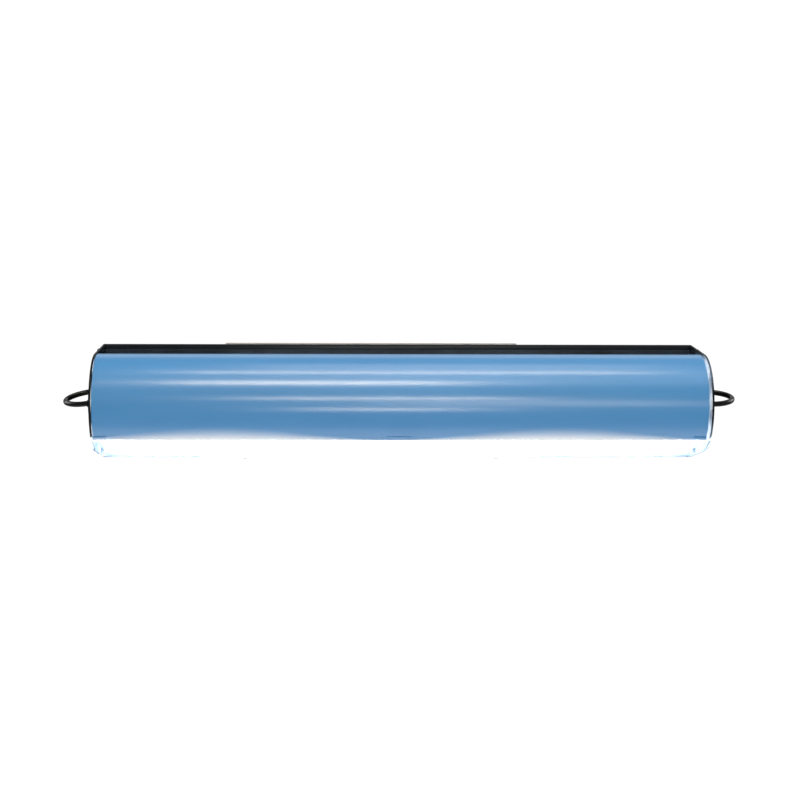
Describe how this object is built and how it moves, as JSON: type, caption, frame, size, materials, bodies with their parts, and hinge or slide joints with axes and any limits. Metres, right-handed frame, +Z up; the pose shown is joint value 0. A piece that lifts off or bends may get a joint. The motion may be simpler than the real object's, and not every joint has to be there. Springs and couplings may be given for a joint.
{
  "type": "wall-mounted light tube with turning shade",
  "caption": "Long wall light: a lit opal tube in front of a folded wall housing, with a half-round shade that turns round the tube on end pivots by wire handles.",
  "frame": {"origin": "on the wall plane at the back of the wall bracket, level with the tube's axis and midway between the end plates", "axes": "+X along the tube to the right seen from the room, +Y into the wall, +Z up"},
  "size_m": [0.6724, 0.129, 0.1207],
  "materials": {
    "black_paint": "semi-gloss powder coat",
    "grey_paint": "matt powder coat",
    "blue_paint": "gloss lacquer",
    "rubber": "matt",
    "zinc_steel": "zinc plated",
    "brass": "satin",
    "bearing_plastic": "self-lubricating",
    "aluminium": "extruded, satin",
    "circuit_board": "white solder mask",
    "led_phosphor": "phosphor",
    "opal_cover": "opal, lit",
    "opal_cap": "opal",
    "white_plastic": "moulded",
    "wire_brown": "insulation",
    "wire_white": "insulation"
  },
  "bodies": {
    "wall_unit": {"wall_bracket": "grey_paint", "cable_grommet": "rubber", "housing": "black_paint", "housing_screws": "zinc_steel", "end_plate_left": "black_paint", "end_plate_right": "black_paint", "end_plate_screws": "black_paint", "end_plate_nuts": "black_paint", "pivot_bush_left": "bearing_plastic", "pivot_bush_right": "bearing_plastic", "tube_support_left": "black_paint", "tube_support_mid": "black_paint", "tube_support_right": "black_paint", "support_screws": "zinc_steel", "heat_sink": "aluminium", "led_board": "circuit_board", "leds": "led_phosphor", "diffuser": "opal_cover", "tube_cap_left": "opal_cap", "tube_cap_right": "opal_cap", "tube_cap_screws": "zinc_steel", "driver": "white_plastic", "driver_screws": "zinc_steel", "terminal_block": "white_plastic", "cable_clamp": "white_plastic", "clamp_screws": "zinc_steel", "earth_stud": "brass", "mains_leads": "wire_brown", "led_lead": "wire_white", "lead_grommet": "rubber"},
    "shade_unit": {"shade": "blue_paint", "edge_clips": "blue_paint", "shade_arm_left": "black_paint", "shade_arm_right": "black_paint", "pivot_pin_left": "zinc_steel", "pivot_pin_right": "zinc_steel", "wave_washer_left": "zinc_steel", "wave_washer_right": "zinc_steel", "handle_plate_left": "black_paint", "handle_plate_right": "black_paint", "pivot_screw_left": "zinc_steel", "pivot_screw_right": "zinc_steel", "handle_left": "black_paint", "handle_right": "black_paint"}
  },
  "joints": [
    {"name": "shade_turn", "type": "hinge", "parent": "wall_unit", "child": "shade_unit", "pos_m": [0, -0.08, 0], "axis": [1, 0, 0], "range_deg": [-30, 115]}
  ]
}
